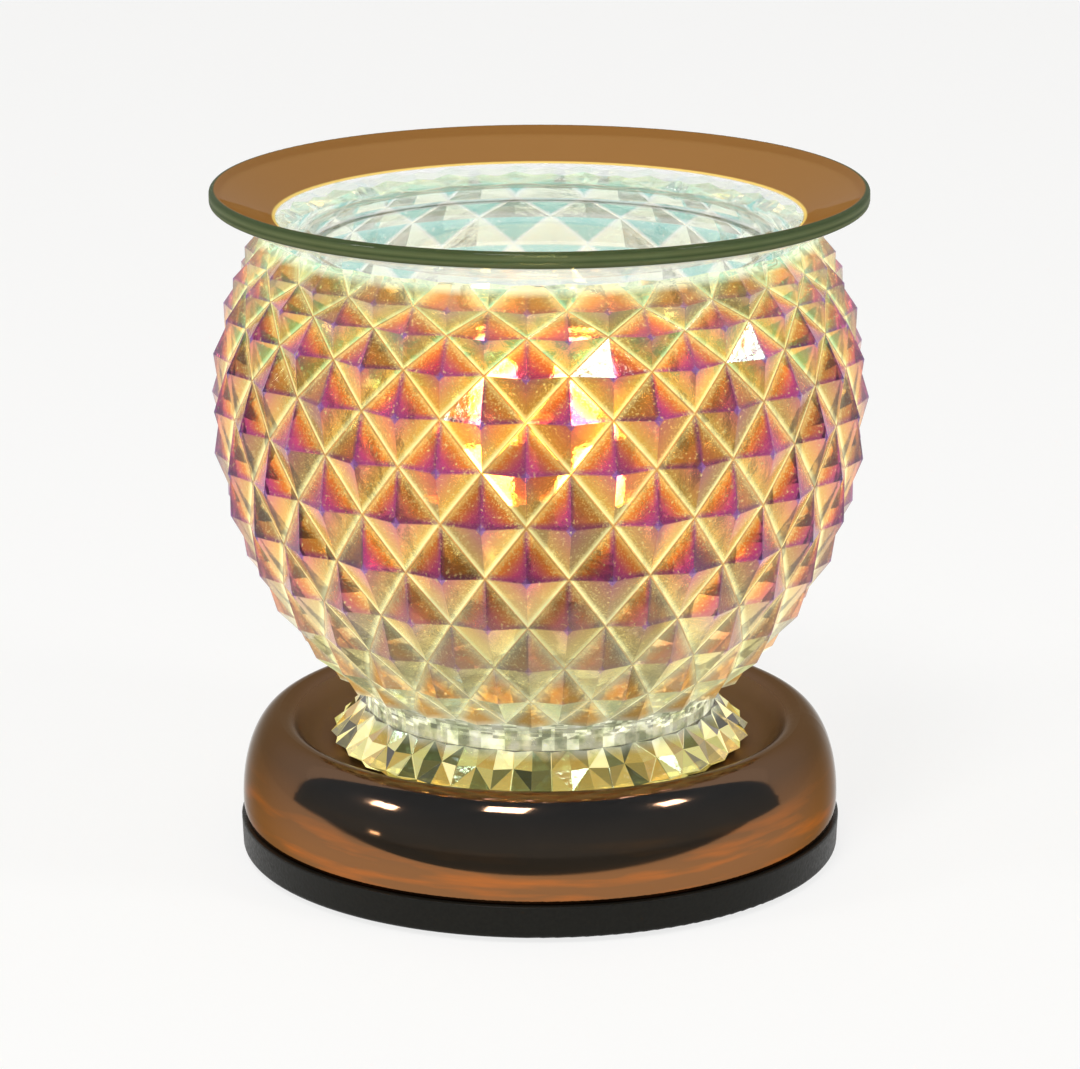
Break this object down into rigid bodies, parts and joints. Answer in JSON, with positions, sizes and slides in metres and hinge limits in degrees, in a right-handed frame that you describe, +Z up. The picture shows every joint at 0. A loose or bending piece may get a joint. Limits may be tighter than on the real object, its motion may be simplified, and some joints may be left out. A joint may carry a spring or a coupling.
{
  "type": "wax melt warmer",
  "caption": "Electric wax melt warmer: a flared glass dish rests on a diamond-cut glass globe over a twist-lock lamp, on a round copper-coloured touch base with a black bottom pan.",
  "frame": {"origin": "on the table under the middle of the base, at the rubber pads' bottom", "axes": "+Z up; -Y is the front that faces the camera; the cord inlet faces +Y"},
  "size_m": [0.131, 0.131, 0.1365],
  "materials": {
    "dish_glass": "polished clear glass with a green edge",
    "globe_glass": "pressed diamond-cut glass, orange lustre",
    "copper_plate": "polished copper plating",
    "black_pan": "satin black",
    "black_rubber": "matt",
    "grey_fibre": "matt fibre",
    "zinc_steel": "zinc plated",
    "brass": "bright",
    "white_ceramic": "unglazed",
    "reflector_mirror": "vapour coated",
    "lamp_glass": "clear",
    "tungsten": "drawn",
    "white_plastic": "moulded",
    "board_green": "solder mask",
    "black_epoxy": "moulded",
    "red_film": "dipped",
    "ferrite": "sintered",
    "natural_plastic": "moulded",
    "brown_lead": "insulation",
    "blue_lead": "insulation",
    "yellow_lead": "insulation"
  },
  "bodies": {
    "base": {"globe_shade": "globe_glass", "foot_gasket": "black_rubber", "shade_washer": "grey_fibre", "shade_plate": "zinc_steel", "stem": "brass", "stem_nuts": "brass", "stem_washers": "zinc_steel", "base_cover": "copper_plate", "cord_bush": "black_rubber", "cover_posts": "zinc_steel", "base_pan": "black_pan", "pan_screws": "zinc_steel", "foot_pad_1": "black_rubber", "foot_pad_2": "black_rubber", "foot_pad_3": "black_rubber", "foot_pad_4": "black_rubber", "holder_bracket": "zinc_steel", "lampholder": "white_ceramic", "holder_screws": "zinc_steel", "holder_contacts": "brass", "touch_tag": "brass", "dimmer_case": "white_plastic", "dimmer_lid": "white_plastic", "dimmer_board": "board_green", "dimmer_triac": "black_epoxy", "dimmer_capacitor": "red_film", "dimmer_choke": "ferrite", "dimmer_chip": "black_epoxy", "terminal_block": "natural_plastic", "terminal_inserts": "brass", "terminal_screws": "zinc_steel", "terminal_fixing": "zinc_steel", "lamp_lead_live": "brown_lead", "lamp_lead_neutral": "blue_lead", "supply_lead": "brown_lead", "touch_lead": "yellow_lead"},
    "dish": {"wax_dish": "dish_glass"},
    "lamp": {"lamp_pins": "zinc_steel", "lamp_cap": "white_ceramic", "lamp_reflector": "reflector_mirror", "lamp_lens": "lamp_glass", "lamp_capsule": "lamp_glass", "lamp_filament": "tungsten"}
  },
  "joints": [
    {"name": "dish_lift", "type": "slide", "parent": "base", "child": "dish", "axis": [0, 0, 1], "range_m": [0, 0.06]},
    {"name": "lamp_twist", "type": "hinge", "parent": "base", "child": "lamp", "pos_m": [0, 0, 0.063], "axis": [0, 0, 1], "range_deg": [0, 35]}
  ]
}
